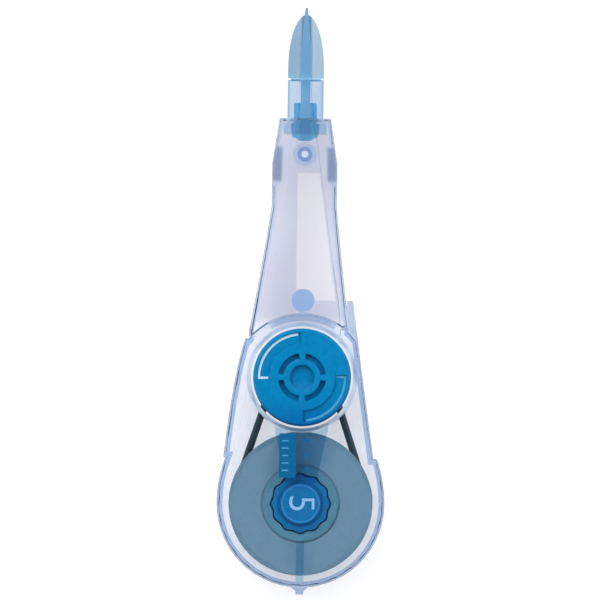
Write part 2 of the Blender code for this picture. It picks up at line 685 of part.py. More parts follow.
def tape_core():
    """Ring with inner splines that the tape is wound on."""
    core = cylinder("tape_core", (0, 0), CORE_RADIUS, TAPE_Z, TAPE_TOP + SIDE_GAP, ROUND)
    keys = splines(hub_spline_radius() + FIT_GAP)
    return cut(core, prism("splines", keys, TAPE_Z - OVERRUN, HUB_TOP + OVERRUN))


def wound_roll(name, inner, outer):
    """A tight roll of tape: a plain ring, because one turn is far thinner than a facet."""
    return turned(name, [(inner, TAPE_Z), (outer, TAPE_Z), (outer, TAPE_TOP), (inner, TAPE_TOP)])


def hub_cap():
    """Round cap on the supply hub, with a stem that plugs into it."""
    low = HUB_TOP + FIT_GAP / 2
    top = low + HUB_CAP_THICKNESS
    chamfer = HUB_CAP_THICKNESS / 3
    return turned("hub_cap", [
        (0, HUB_TOP - HUB_CAP_STEM_LENGTH), (HUB_CAP_STEM_RADIUS, HUB_TOP - HUB_CAP_STEM_LENGTH),
        (HUB_CAP_STEM_RADIUS, low), (HUB_CAP_RADIUS, low), (HUB_CAP_RADIUS, top - chamfer),
        (HUB_CAP_RADIUS - chamfer, top), (0, top)], SMALL_ROUND + 12)


def takeup_spool():
    """Small belt pulley, flange and drum in one piece."""
    groove_top = PULLEY_Z + PULLEY_WIDTH
    floor = groove_floor(TAKEUP_PITCH_RADIUS)
    rim = TAKEUP_PITCH_RADIUS + PULLEY_RIM
    bore = AXLE_RADIUS + RUNNING_GAP
    socket = DISC_STEM_RADIUS + FIT_GAP
    socket_floor = DISC_Z - DISC_STEM_LENGTH - FIT_GAP
    drum_top = DISC_Z - FIT_GAP
    return turned("takeup_spool", [
        (bore, PULLEY_Z), (rim, PULLEY_Z), (rim, PULLEY_Z + PULLEY_LIP),
        (floor, PULLEY_Z + 2 * PULLEY_LIP), (floor, groove_top - 2 * PULLEY_LIP),
        (rim, groove_top - PULLEY_LIP), (DISC_RADIUS, groove_top - PULLEY_LIP),
        (DISC_RADIUS, groove_top), (DRUM_RADIUS, groove_top), (DRUM_RADIUS, drum_top),
        (socket, drum_top), (socket, socket_floor), (bore, socket_floor)])


def ring_sector(name, inner, outer, middle, span, low, high):
    """A piece of a flat ring, centred on one direction in degrees."""
    start, end = middle - span / 2, middle + span / 2
    steps = max(6, int(span / 8))
    outline = arc((0, 0), outer, start, end, steps) + arc((0, 0), inner, end, start, steps)
    return prism(name, outline, low, high)


def takeup_disc():
    """Front disc that shows in the window: centre recess, four slots and two sunk turn marks."""
    stem_end = DISC_Z - DISC_STEM_LENGTH
    recess = DISC_TOP - DISC_RECESS_DEPTH
    disc = turned("takeup_disc", [
        (0, stem_end), (DISC_STEM_RADIUS, stem_end), (DISC_STEM_RADIUS, DISC_Z),
        (DISC_RADIUS, DISC_Z), (DISC_RADIUS, DISC_TOP - DISC_CHAMFER), (DISC_RADIUS - DISC_CHAMFER, DISC_TOP),
        (DISC_RECESS_RADIUS, DISC_TOP), (DISC_RECESS_RADIUS, recess), (0, recess)])
    cutters = []
    for quarter in range(4):
        cutters.append(ring_sector("slot", SLOT_INNER_RADIUS, SLOT_OUTER_RADIUS, 45 + 90 * quarter, SLOT_SPAN,
                                   DISC_TOP - SLOT_DEPTH, DISC_TOP + OVERRUN))
    for half in range(2):
        middle = TURN_MARK_MIDDLE + 180 * half
        cutters.append(ring_sector("turn_mark", TURN_MARK_INNER_RADIUS, TURN_MARK_OUTER_RADIUS, middle,
                                   TURN_MARK_SPAN, DISC_TOP - TURN_MARK_DEPTH, DISC_TOP + OVERRUN))
    return cut(disc, *cutters)


# Belt and tape

def belt_path():
    """The belt's centre line: round the supply pulley, up one side, round the take-up pulley and back."""
    lean = math.degrees(math.asin((SUPPLY_PITCH_RADIUS - TAKEUP_PITCH_RADIUS) / AXLE_SPACING))
    return (arc((0, TAKEUP_Y), TAKEUP_PITCH_RADIUS, lean, 180 - lean, 14)
            + arc((0, SUPPLY_Y), SUPPLY_PITCH_RADIUS, 180 - lean, 360 + lean, 30))


def drive_belt():
    """Round rubber cord on a closed loop, with no ends."""
    path = belt_path()
    radius = BELT_DIAMETER / 2
    sides = 10

    def build(shape):
        rings = []
        for i, here in enumerate(path):
            before, after = Vector(path[i - 1]), Vector(path[(i + 1) % len(path)])
            along = (after - before).normalized()
            side = Vector((-along.y, along.x))
            ring = []
            for j in range(sides):
                t = 2 * math.pi * j / sides
                out = side * radius * math.cos(t)
                height = BELT_Z + radius * math.sin(t)
                ring.append(shape.verts.new((here[0] + out.x, here[1] + out.y, height)))
            rings.append(ring)
        for i, ring in enumerate(rings):
            following = rings[(i + 1) % len(rings)]
            for j in range(sides):
                k = (j + 1) % sides
                shape.faces.new((ring[j], following[j], following[k], ring[k]))
    return mesh_object("drive_belt", build)


def tangent_angle(centre, radius, point, side):
    """Direction from a circle's centre to where a line from an outside point touches it, in degrees."""
    away = Vector(point) - Vector(centre)
    facing = math.degrees(math.atan2(away.y, away.x))
    return facing + side * math.degrees(math.acos(radius / away.length))


def tape_line_gap():
    """From a piece that guides the tape to the tape's own centre line."""
    return FIT_GAP + TAPE_THICKNESS / 2


def coated_path():
    """Fresh tape: off the supply roll, past the boss, along the blade and over its tip."""
    roll = SUPPLY_ROLL_RADIUS + tape_line_gap()
    boss = (-(BOSS_RADIUS + tape_line_gap()), BOSS_Y)
    leave = tangent_angle((0, SUPPLY_Y), roll, boss, 1)
    wrap = arc((0, SUPPLY_Y), roll, leave + 40, leave, 8)
    blade = -(BLADE_HALF_THICKNESS + HEAD_PLAY + TAPE_THICKNESS / 2)
    tip = blade_tip_y() - BLADE_TIP_HALF_THICKNESS
    tip_radius = BLADE_TIP_HALF_THICKNESS + HEAD_PLAY + TAPE_THICKNESS / 2
    return (wrap + [boss, (blade, NOSE_Y + BLOCK_LENGTH), (blade, blade_tip_y() - BLADE_TAPER_LENGTH)]
            + arc((0, tip), tip_radius, 172, 20, 7))


def spent_path():
    """Bare liner: down the blade's other side, past the boss, round the bulkhead's end and onto the drum."""
    boss = (BOSS_RADIUS + tape_line_gap(), BOSS_Y)
    blade = BLADE_HALF_THICKNESS + HEAD_PLAY + TAPE_THICKNESS / 2
    tip = blade_tip_y() - BLADE_TIP_HALF_THICKNESS
    tip_radius = BLADE_TIP_HALF_THICKNESS + HEAD_PLAY + TAPE_THICKNESS / 2
    bulkhead_angle = 90 - math.degrees(math.asin(BULKHEAD_HALF_WIDTH / SHOULDER_RADIUS))
    end_gap = SHOULDER_RADIUS * math.cos(math.radians(bulkhead_angle)) + tape_line_gap() + FIT_GAP
    end_y = SHOULDER_Y + SHOULDER_RADIUS * math.sin(math.radians(bulkhead_angle))
    bulkhead = (end_gap, end_y - BULKHEAD_THICKNESS / 2)
    roll = SPENT_ROLL_RADIUS + tape_line_gap()
    land = tangent_angle((0, TAKEUP_Y), roll, bulkhead, -1)
    below_tip = (tip_radius + 0.05, tip - 2 * FIT_GAP)
    along_blade = [(blade, blade_tip_y() - BLADE_TAPER_LENGTH), (blade, NOSE_Y + BLOCK_LENGTH)]
    onto_roll = arc((0, TAKEUP_Y), roll, land, land - 60, 8)
    return [below_tip] + along_blade + [boss, bulkhead] + onto_roll


def tape_strip(name, path):
    return prism(name, ribbon(path, TAPE_THICKNESS), TAPE_Z, TAPE_TOP)


def clear_scene():
    for obj in list(bpy.data.objects):
        bpy.data.objects.remove(obj)


def main():
    clear_scene()
    clear = moulded("clear_styrene", (0.80, 0.86, 0.95), 0.05, alpha=0.35, transmission=0.9)
    sleeve = moulded("clear_sleeve", (0.72, 0.82, 0.93), 0.05, alpha=0.4, transmission=0.9)
    head_blue = moulded("head_blue", (0.22, 0.48, 0.72), 0.12, alpha=0.7, transmission=0.6)
    reel_blue = moulded("reel_blue", (0.0, 0.21, 0.45), 0.25)
    core_grey = moulded("core_grey", (0.12, 0.24, 0.36), 0.4)
    tape_grey = moulded("tape_roll", (0.15, 0.27, 0.37), 0.55)
    tape_white = moulded("coated_tape", (0.85, 0.87, 0.88), 0.6)
    liner = moulded("bare_liner", (0.62, 0.70, 0.76), 0.35)
    rubber = moulded("belt_rubber", (0.03, 0.04, 0.06), 0.7)

    place(rear_shell(), clear)
    place(front_shell(), clear)
    place(head_sleeve(), sleeve)
    place(transfer_head(), head_blue)
    place(drive_belt(), rubber)
    place(tape_strip("coated_tape", coated_path()), tape_white)
    place(tape_strip("spent_liner", spent_path()), liner)

    supply = axis_empty("supply_axis", SUPPLY_Y)
    place(supply_pulley(), reel_blue, supply)
    place(tape_core(), core_grey, supply)
    place(wound_roll("supply_roll", CORE_RADIUS + FIT_GAP, SUPPLY_ROLL_RADIUS), tape_grey, supply)
    place(hub_cap(), reel_blue, supply)

    takeup = axis_empty("takeup_axis", TAKEUP_Y)
    place(takeup_spool(), reel_blue, takeup)
    place(takeup_disc(), reel_blue, takeup)
    place(wound_roll("spent_roll", DRUM_RADIUS + FIT_GAP, SPENT_ROLL_RADIUS), liner, takeup)


main()
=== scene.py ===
# %% [markdown]
# # A see-through correction tape roller
#
# The roller lays a dry white film on paper. Two clear moulded halves hold a roll of fresh tape, a take-up
# reel for the bare liner, the belt that ties the two together, and a blue head that presses the film down.
# The CAD frame already has every piece at its true size and place, so this lesson only dresses it. The frame
# is loaded first.

import math

import bpy
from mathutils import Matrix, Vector


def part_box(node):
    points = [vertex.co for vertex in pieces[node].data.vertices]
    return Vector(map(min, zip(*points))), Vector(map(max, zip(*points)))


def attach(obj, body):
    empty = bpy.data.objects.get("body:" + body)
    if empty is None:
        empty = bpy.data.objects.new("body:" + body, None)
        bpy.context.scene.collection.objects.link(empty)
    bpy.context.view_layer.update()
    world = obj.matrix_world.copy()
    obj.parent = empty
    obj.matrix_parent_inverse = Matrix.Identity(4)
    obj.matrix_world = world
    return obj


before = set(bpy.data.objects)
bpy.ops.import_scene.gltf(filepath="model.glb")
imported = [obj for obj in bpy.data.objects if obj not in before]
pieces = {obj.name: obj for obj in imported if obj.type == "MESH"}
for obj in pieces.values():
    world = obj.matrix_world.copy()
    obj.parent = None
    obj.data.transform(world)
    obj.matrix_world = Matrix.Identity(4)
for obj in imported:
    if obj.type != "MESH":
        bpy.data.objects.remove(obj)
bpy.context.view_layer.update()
scene = bpy.context.scene
MM = 0.001

# %% [markdown]
# ## Colours and shader nodes
#
# A swatch book gives colours as sRGB hex values, and shaders reckon in linear light, so one function turns
# the first into the second. Shader nodes could be placed by hand in the editor. Written out, each is a kind,
# its inputs and its settings, so a single small function adds any of them and a finish reads like a recipe.

# %% Colour
def linear(hex_code):
    """An sRGB hex colour as linear RGBA."""
    channels = [int(hex_code[i:i + 2], 16) / 255 for i in (1, 3, 5)]
    return [c / 12.92 if c <= 0.04045 else ((c + 0.055) / 1.055) ** 2.4 for c in channels] + [1.0]


print("mid grey in linear light:", round(linear("#808080")[0], 3))

# %% Node and material
def add(tree, kind, inputs=None, **settings):
    """Adds a node. An input is a value, another node (its first output) or one of a node's sockets."""
    node = tree.nodes.new("ShaderNode" + kind)
    for name, value in settings.items():
        setattr(node, name, value)
    for key, value in (inputs or {}).items():
        if isinstance(value, bpy.types.Node):
            tree.links.new(value.outputs[0], node.inputs[key])
        elif isinstance(value, bpy.types.NodeSocket):
            tree.links.new(value, node.inputs[key])
        else:
            node.inputs[key].default_value = value
    return node


def empty_material(name):
    """A material with no nodes yet, and its tree."""
    made = bpy.data.materials.new(name)
    made.use_nodes = True
    made.node_tree.nodes.clear()
    return made, made.node_tree


print("materials to start with:", len(bpy.data.materials))

# %% [markdown]
# ## Grain and regions
#
# No moulded surface is quite even: a noise with a grain size in millimetres lets colour and gloss wander a
# little. Some finishes also change from place to place on one moulding, such as a frosted rim or a polished
# panel. They could be separate materials on separate faces, but a solid's faces don't follow such borders, so
# each region is a soft mask worked out from the piece's own x, y and z.

# %% Grain
def grain(tree, size_mm, low, high):
    """A noise whose blotches have a real size. Most of it lies between 0.3 and 0.7, spread to low and high."""
    place = add(tree, "TexCoord").outputs["Object"]
    noise = add(tree, "TexNoise", {"Vector": place, "Scale": 1 / (size_mm * MM), "Detail": 3.0})
    return add(tree, "MapRange", {"Value": noise, "From Min": 0.3, "From Max": 0.7, "To Min": low, "To Max": high})


print("a grain of 2 mm has a noise scale of", 1 / (2 * MM))

# %% Regions
def own_axes(tree):
    """A piece's own x, y and z."""
    return add(tree, "SeparateXYZ", {0: add(tree, "TexCoord").outputs["Object"]}).outputs


def distance_from(tree, centre_mm):
    """How far a point lies from an axis that runs front to back."""
    place = add(tree, "TexCoord").outputs["Object"]
    flat = add(tree, "VectorMath", {0: place, 1: (1, 1, 0)}, operation="MULTIPLY")
    centre = (centre_mm[0] * MM, centre_mm[1] * MM, 0)
    return add(tree, "VectorMath", {0: flat, 1: centre}, operation="DISTANCE").outputs["Value"]


def region(tree, *limits):
    """A soft mask: each limit is a coordinate, where it is outside and where it is inside, in millimetres."""
    mask = None
    for coordinate, outside, inside in limits:
        step = add(tree, "MapRange", {"Value": coordinate, "From Min": outside * MM, "From Max": inside * MM},
                   interpolation_type="SMOOTHSTEP")
        mask = add(tree, "Math", {0: mask, 1: step}, operation="MULTIPLY") if mask else step
    return mask


def middle_mm(name):
    """Where a CAD piece is centred, seen from the front."""
    low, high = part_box(name)
    return (low[0] + high[0]) / 2 / MM, (low[1] + high[1]) / 2 / MM


print("supply roll centred at", [round(v, 2) for v in middle_mm("supply_roll")], "mm")

# %% Layers of colour
def layered(tree, dark, light, share, layers=()):
    """Two near colours mixed by a share, with other colours laid over regions."""
    colour = add(tree, "Mix", {0: share, 6: linear(dark), 7: linear(light)}, data_type="RGBA").outputs[2]
    for mask, hex_code in layers:
        colour = add(tree, "Mix", {0: mask, 6: colour, 7: linear(hex_code)}, data_type="RGBA").outputs[2]
    return colour


print("colours are mixed in linear light")

# %% [markdown]
# ## See-through plastic
#
# The case, its nose sleeve and the head are clear mouldings. Much of their colour comes from depth: light that
# runs down a wall meets far more plastic than light that crosses a plate. A plain tinted glass would colour both
# alike, so an absorbing volume inside gives the blue, and the surface bends the light and adds a light tint.
# Shadow rays pass straight through, because a clear case leaves the table under it bright.

# %% Recipe for clear plastic
FROST = 0.45
PLASTIC_IOR = 1.46
TINT_GRAIN, POLISH_GRAIN, RIPPLE_GRAIN = 9.0, 6.0, 4.0  # in millimetres
RIPPLE_STRENGTH, RIPPLE_DEPTH = 0.02, 0.2 * MM


def clear_plastic(name, tints, kept_colour, per_mm, roughness, regions):
    """Clear plastic that keeps one colour of the light, the more so per millimetre, with tinted regions."""
    made, tree = empty_material(name)
    layers, frosted = regions(tree)
    tint = layered(tree, tints[0], tints[1], grain(tree, TINT_GRAIN, 0.0, 1.0), layers)
    polish = grain(tree, POLISH_GRAIN, roughness * 0.7, roughness * 1.4)
    gloss = add(tree, "Math", {0: frosted, 1: FROST, 2: polish}, operation="MULTIPLY_ADD")
    ripple = add(tree, "Bump", {"Height": grain(tree, RIPPLE_GRAIN, 0.0, 1.0), "Strength": RIPPLE_STRENGTH,
                                "Distance": RIPPLE_DEPTH})
    body = add(tree, "BsdfPrincipled", {"Base Color": tint, "Roughness": gloss, "Normal": ripple,
                                        "Transmission Weight": 1.0, "IOR": PLASTIC_IOR})
    straight = add(tree, "BsdfTransparent", {"Color": tint})
    shadow = add(tree, "LightPath").outputs["Is Shadow Ray"]
    surface = add(tree, "MixShader", {0: shadow, 1: body, 2: straight})
    inside = add(tree, "VolumeAbsorption", {"Color": linear(kept_colour), "Density": per_mm / MM})
    add(tree, "OutputMaterial", {"Surface": surface, "Volume": inside})
    return made


print("clear plastic bends light by IOR", PLASTIC_IOR)

# %% [markdown]
# ## The case
#
# Each half is injection moulded in clear polystyrene. The reel bay and the thumb panel look clearest and the neck
# a little milky. The grips beside the boss are thick, the ribs under the front plate catch some blue, and the
# window's bevelled rim is frosted, which gives the pale ring round the disc. Each of these could be a piece of
# its own, but they are one moulding, so they are regions of one material. The rim is frosted because a clear
# bevel bends the belt and the walls behind it into a row of dashes.

# %% Case landmarks
# Each pair says where a coordinate is outside a region and where it is inside, in millimetres.
disc_middle = middle_mm("takeup_disc")
disc_low, disc_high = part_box("takeup_disc")
disc_radius = (disc_high[0] - disc_low[0]) / 2 / MM
RIM_INNER, RIM_OUTER = (disc_radius, disc_radius + 0.1), (disc_radius + 1.35, disc_radius + 1.05)
RIM_HEIGHT = (5.0, 7.0)
BAY = (-2.0, -6.0)
WALL_LOW, WALL_HIGH = (4.6, 5.2), (9.2, 8.6)
RIB_SPAN, RIB_LOW, RIB_HIGH = (5.4, 5.1), (10.9, 11.05), (11.35, 11.2)
PANEL_LEFT, PANEL_RIGHT = (-1.5, -1.1), (6.2, 5.8)
PANEL_FOOT, PANEL_TOP = (-0.2, 0.2), (24.0, 23.6)
PANEL_LEAN = (6.0 - 2.8) / 23.8  # the right edge leans in by 3.2 mm over the panel's height
GRIP_OUT, GRIP_LOW, GRIP_HIGH = (3.9, 4.7), (21.8, 22.8), (28.9, 28.1)
POST, POST_EDGE = (0.0, 0.0), (2.25, 2.05)
BOSS, BOSS_EDGE, PIN_EDGE = (0.0, 27.3), (1.5, 1.2), (0.75, 0.55)
print("take-up disc:", round(disc_radius, 2), "mm in radius, window rim out to", round(RIM_OUTER[1], 2), "mm")

# %% Case regions
def case_regions(tree):
    """Coloured layers: bay, walls, ribs, panel, grips, rim, post, boss and pin. The rim comes again as frost."""
    x, y, z = own_axes(tree)
    out = add(tree, "Math", {0: x}, operation="ABSOLUTE")
    slanted = add(tree, "Math", {0: y, 1: PANEL_LEAN, 2: x}, operation="MULTIPLY_ADD")
    from_disc, from_boss = distance_from(tree, disc_middle), distance_from(tree, BOSS)
    in_bay = (y, *BAY)
    rim = region(tree, (from_disc, *RIM_INNER), (from_disc, *RIM_OUTER), (z, *RIM_HEIGHT))
    layers = [
        (region(tree, in_bay), "#fcfbfc"),
        (region(tree, in_bay, (z, *WALL_LOW), (z, *WALL_HIGH)), "#d6dcea"),
        (region(tree, in_bay, (out, *RIB_SPAN), (z, *RIB_LOW), (z, *RIB_HIGH)), "#9ac6de"),
        (region(tree, (x, *PANEL_LEFT), (slanted, *PANEL_RIGHT), (y, *PANEL_FOOT), (y, *PANEL_TOP)), "#f9f7f8"),
        (region(tree, (out, *GRIP_OUT), (y, *GRIP_LOW), (y, *GRIP_HIGH)), "#d4d4de"),
        (rim, "#e9f4ff"),
        (region(tree, (distance_from(tree, POST), *POST_EDGE)), "#dfe8f5"),
        (region(tree, (from_boss, *BOSS_EDGE)), "#c3d3ea"),
        (region(tree, (from_boss, *PIN_EDGE)), "#ffffff")]
    return layers, rim


# Clear polystyrene, moulded and polished: glassy, with a lavender cast that turns blue along the walls.
# Its IOR of about 1.59 is lowered to 1.46, because the case shows hardly any reflection from the front.
clear_polystyrene = clear_plastic("clear_polystyrene", ("#ecebf1", "#f0eff4"), "#9fd5fb", 0.06, 0.03, case_regions)
print("case:", clear_polystyrene.name, "with", len(clear_polystyrene.node_tree.nodes), "nodes")

# %% [markdown]
# ## The nose sleeve
#
# The sleeve is a thin rectangular tube of clear plastic that carries the head. It could share the case's material,
# but it looks cooler than the case. From the front its two side walls are seen on edge and look bluer, so they
# are one region. The root inside the case is another and lighter one, since light that reaches it has crossed the
# case as well.

# %% Sleeve material
NOSE_INSIDE, NOSE_OUTSIDE = (34.1, 33.8), (33.9, 34.3)
SLEEVE_SIDE, SIDE_DULL = (2.8, 3.0), 0.1


def sleeve_regions(tree):
    """The root inside the case and the two side walls outside it, and those walls a little dull."""
    x, y, _ = own_axes(tree)
    out = add(tree, "Math", {0: x}, operation="ABSOLUTE")
    side = region(tree, (out, *SLEEVE_SIDE), (y, *NOSE_OUTSIDE))
    layers = [(region(tree, (y, *NOSE_INSIDE)), "#f4f8ff"), (side, "#c3cbe0")]
    return layers, add(tree, "Math", {0: side, 1: SIDE_DULL}, operation="MULTIPLY")


# Clear polystyrene from a second tool: nearly colourless, with blue edges.
sleeve_polystyrene = clear_plastic("sleeve_polystyrene", ("#e3eaf3", "#e6edf5"), "#93e0fa", 0.08, 0.03,
                                   sleeve_regions)
print("sleeve:", sleeve_polystyrene.name, "with", len(sleeve_polystyrene.node_tree.nodes), "nodes")

# %% [markdown]
# ## The head
#
# The head is one blue moulding: a blade on edge that the tape runs over, between two thin guide leaves. One flat
# tint could serve for the leaves, but the blade is about 6 mm deep and runs darker, which the absorbing volume
# gives without another material. The right leaf is painted paler than the left, as painted light for the side that
# light falls on more; the blade is a little greyer than its depth alone makes it, and the stem and its collar bluer,
# so these are regions.

# %% Head material
RIGHT_LEAF_PAINTED_LIGHT, BLADE, STEM = (0.8, 1.4), (0.95, 0.8), (43.0, 38.0)
STEM_DULL = 0.15


def head_regions(tree):
    """Right leaf paler as painted light, blade, stem, the blade in the stem and the collar, and the stem again a
    little dull.
    """
    x, y, _ = own_axes(tree)
    out = add(tree, "Math", {0: x}, operation="ABSOLUTE")
    stem = region(tree, (y, *STEM))
    layers = [
        # The right leaf's paler tint is painted light, as light falls more on that side.
        (region(tree, (x, *RIGHT_LEAF_PAINTED_LIGHT)), "#dee5ec"),
        (region(tree, (out, *BLADE)), "#b7c3d2"),
        (stem, "#bcecff"),
        (region(tree, (y, *STEM), (out, *BLADE)), "#ffffff"),
        (region(tree, (y, *NOSE_INSIDE)), "#caf2ff")]
    return layers, add(tree, "Math", {0: stem, 1: STEM_DULL}, operation="MULTIPLY")


# Blue polypropylene, moulded thin: clear enough to see through, with a soft shine. Its own IOR is about 1.49.
blue_polypropylene = clear_plastic("blue_polypropylene", ("#c9d7e5", "#cddbe7"), "#1acaec", 0.18, 0.08, head_regions)
print("head:", blue_polypropylene.name, "with", len(blue_polypropylene.node_tree.nodes), "nodes")

# %% [markdown]
# ## Opaque plastic, film, rubber and ink
#
# The reels, the tape and the belt let no light through. They could each have a shader of their own, but they
# differ only in colour, gloss and grain, so one recipe serves all: two near colours mixed by the grain, a
# roughness that wanders, and a relief too fine to see as anything but a softer shine. A wound roll also gets
# rings, since the edges of its turns never lie quite level.

# %% Rings of a wound roll
RING_DEPTH, RING_MIDDLE, RING_DRIFT = 0.35, 0.5, 0.5


def wound_rings(tree, share, centre_mm, spacing_mm):
    """A share that rises and falls from ring to ring, unevenly where the first share says so."""
    radius = distance_from(tree, centre_mm)
    turn = add(tree, "Math", {0: radius, 1: spacing_mm * MM / math.tau}, operation="DIVIDE")
    wave = add(tree, "Math", {0: turn}, operation="SINE")
    rings = add(tree, "Math", {0: wave, 1: RING_DEPTH, 2: RING_MIDDLE}, operation="MULTIPLY_ADD")
    uneven = add(tree, "Math", {0: share, 1: RING_DRIFT}, operation="ADD")
    return add(tree, "Math", {0: rings, 1: uneven}, operation="MULTIPLY")


print("rings mix the two colours from", RING_MIDDLE - RING_DEPTH, "to", RING_MIDDLE + RING_DEPTH)

# %% Recipe for opaque finishes
# Plastic, film, rubber and ink have an IOR near 1.5. The highlights seen through the case are weak, so the
# specular level is half of the usual 0.5.
WEAK_SHINE = 0.25
RELIEF_DEPTH = 0.1 * MM


def satin(name, dark, light, roughness, grain_mm, relief, tail_shade=None, wound=None):
    """An opaque finish; tail_shade darkens it towards the tail, wound is a centre and a ring spacing."""
    made, tree = empty_material(name)
    share = grain(tree, grain_mm, 0.0, 1.0)
    if wound:
        share = wound_rings(tree, share, *wound)
    layers = []
    if tail_shade:
        plain_from, shaded_to, shade = tail_shade
        layers = [(region(tree, (own_axes(tree)[1], plain_from, shaded_to)), shade)]
    bump = add(tree, "Bump", {"Height": grain(tree, grain_mm / 3, 0.0, 1.0), "Strength": relief,
                              "Distance": RELIEF_DEPTH})
    surface = add(tree, "BsdfPrincipled", {
        "Base Color": layered(tree, dark, light, share, layers), "Normal": bump,
        "Roughness": grain(tree, grain_mm * 2, roughness * 0.8, roughness * 1.2),
        "IOR": PLASTIC_IOR, "Specular IOR Level": WEAK_SHINE})
    add(tree, "OutputMaterial", {"Surface": surface})
    return made


print("opaque finishes have a specular level of", WEAK_SHINE)

# %% [markdown]
# ## Reels, tape and belt
#
# The take-up disc is taken as textured blue polystyrene, which scatters light and looks satin. The hub is the same
# plastic under the front plate, where it looks deeper, so the hub and pulley get a copy of the blue painted darker as
# shade; the core is a grey-blue one. On the roll only the film's edges show, matt and grey-blue. Its turns could be
# modelled, but each is only about 0.05 mm thick, so rings in the material stand for them. They are drawn 0.45 mm
# apart, coarse enough to show.

# %% Reel materials
# Blue polystyrene with a spark-eroded texture: satin, deeper towards the tail.
textured_blue_polystyrene = satin("textured_blue_polystyrene", "#007ab2", "#0085bd", 0.38, 0.8, 0.08,
                                  tail_shade=(-17.0, -24.0, "#0067a9"))
# The same blue on the hub and pulley, moulded smooth, and painted darker as shade for lying under the front plate.
deep_blue_polystyrene_painted_shade = satin("deep_blue_polystyrene_painted_shade", "#00679b", "#006ea3", 0.4, 0.8, 0.08)
# Grey-blue polypropylene, moulded: waxy and soft.
grey_polypropylene = satin("grey_polypropylene", "#4b7b90", "#518296", 0.45, 0.6, 0.1)
print("reel materials:", [m.name for m in (textured_blue_polystyrene, deep_blue_polystyrene_painted_shade, grey_polypropylene)])

# %% Tape and belt materials
RING_SPACING = 0.45
# Edges of wound polyester film: matt and ringed.
wound_film_edge = satin("wound_film_edge", "#618295", "#698a9f", 0.6, 1.6, 0.12,
                        wound=(middle_mm("supply_roll"), RING_SPACING))
# Film with its dry white coating: chalky.
white_coated_film = satin("white_coated_film", "#e4e7e9", "#eef0f1", 0.6, 0.5, 0.1)
# Bare glassine liner: smooth, greyish paper.
glassine_liner = satin("glassine_liner", "#c3ced6", "#cfd8de", 0.4, 0.5, 0.1)
# Moulded rubber cord: dark grey and dull.
dark_rubber = satin("dark_rubber", "#364b55", "#425962", 0.65, 0.4, 0.2)
print("tape and belt materials:", [m.name for m in (wound_film_edge, white_coated_film, glassine_liner, dark_rubber)])

# %% [markdown]
# ## Dress the CAD pieces
#
# Each CAD piece keeps its solid and gets its material. The solids are faceted, so round faces would show flat
# strips. Remodelling them would change the CAD, and plain smooth shading would bend the flat plates like lenses.
# Modifiers do it instead: weld the triangles, break the sharp edges of some opaque pieces by a tenth of a
# millimetre, keep a crease where faces meet at more than 38 degrees, and let the large faces set the normals.

# %% Soft edges
CREASE = math.radians(38)
WELD_REACH = 0.002 * MM


def soften(piece, edge_break_mm):
    """Smooth round faces and small edge breaks, as modifiers that leave the solid itself alone."""
    mesh = piece.data
    if "custom_normal" in mesh.attributes:
        mesh.attributes.remove(mesh.attributes["custom_normal"])
    mesh.polygons.foreach_set("use_smooth", [True] * len(mesh.polygons))
    weld = piece.modifiers.new("weld", "WELD")
    weld.merge_threshold = WELD_REACH
    if edge_break_mm:
        edge = piece.modifiers.new("edge_break", "BEVEL")
        edge.width = edge_break_mm * MM
        edge.segments = 2
        edge.limit_method = "ANGLE"
        edge.angle_limit = CREASE
    crease = piece.modifiers.new("crease", "EDGE_SPLIT")
    crease.split_angle = CREASE
    crease.use_edge_sharp = False
    flat = piece.modifiers.new("flat_faces_stay_flat", "WEIGHTED_NORMAL")
    flat.weight = 100


print("faces crease at", round(math.degrees(CREASE)), "degrees")

# %% Materials of the CAD pieces
FINISHES = {
    "rear_shell": clear_polystyrene, "front_shell": clear_polystyrene, "head_sleeve": sleeve_polystyrene,
    "transfer_head": blue_polypropylene, "drive_belt": dark_rubber, "coated_tape": white_coated_film,
    "spent_liner": glassine_liner, "spent_roll": glassine_liner, "supply_pulley": deep_blue_polystyrene_painted_shade,
    "hub_cap": deep_blue_polystyrene_painted_shade, "tape_core": grey_polypropylene, "supply_roll": wound_film_edge,
    "takeup_spool": textured_blue_polystyrene, "takeup_disc": textured_blue_polystyrene,
}
EDGE_BREAK_MM = {"takeup_disc": 0.1, "hub_cap": 0.1, "supply_pulley": 0.08, "tape_core": 0.12, "supply_roll": 0.12}
for name, finish in FINISHES.items():
    pieces[name].data.materials.clear()
    pieces[name].data.materials.append(finish)
    soften(pieces[name], EDGE_BREAK_MM.get(name, 0.0))
print("dressed", len(FINISHES), "pieces, edges broken on", len(EDGE_BREAK_MM))

# %% [markdown]
# ## The numeral on the hub
#
# The cap over the supply hub carries the tape's width in millimetres as a plain raised numeral. It could be cut
# from a mesh outline, but a text object gives a clean numeral, is extruded by itself and stays editable. It rides
# the supply reel, so it turns with the cap.

# %% Numeral
# Pale blue pad ink on the raised numeral: matt.
pale_pad_ink = satin("pale_pad_ink", "#80b4dd", "#94c2e5", 0.45, 0.3, 0.05)
NUMERAL_HEIGHT, NUMERAL_RELIEF, STROKE_THINNED = 4.9 * MM, 0.12 * MM, 0.05 * MM
FONT_SIZE_TO_HEIGHT = 1.42  # a numeral is about 0.7 of its font's size
cap_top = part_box("hub_cap")[1][2]
cap_middle = middle_mm("hub_cap")
text = bpy.data.curves.new("width_numeral", "FONT")
text.body = "5"
text.align_x = "CENTER"
text.align_y = "CENTER"
text.size = NUMERAL_HEIGHT * FONT_SIZE_TO_HEIGHT
text.extrude = NUMERAL_RELIEF / 2
text.offset = -STROKE_THINNED
text.materials.append(pale_pad_ink)
numeral = bpy.data.objects.new("width_numeral", text)
numeral.rotation_euler = (0, 0, -math.pi / 2)
numeral.location = (cap_middle[0] * MM, cap_middle[1] * MM, cap_top + NUMERAL_RELIEF / 2)
scene.collection.objects.link(numeral)
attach(numeral, "supply_reel")
print("numeral:", round(NUMERAL_HEIGHT / MM, 1), "mm tall")

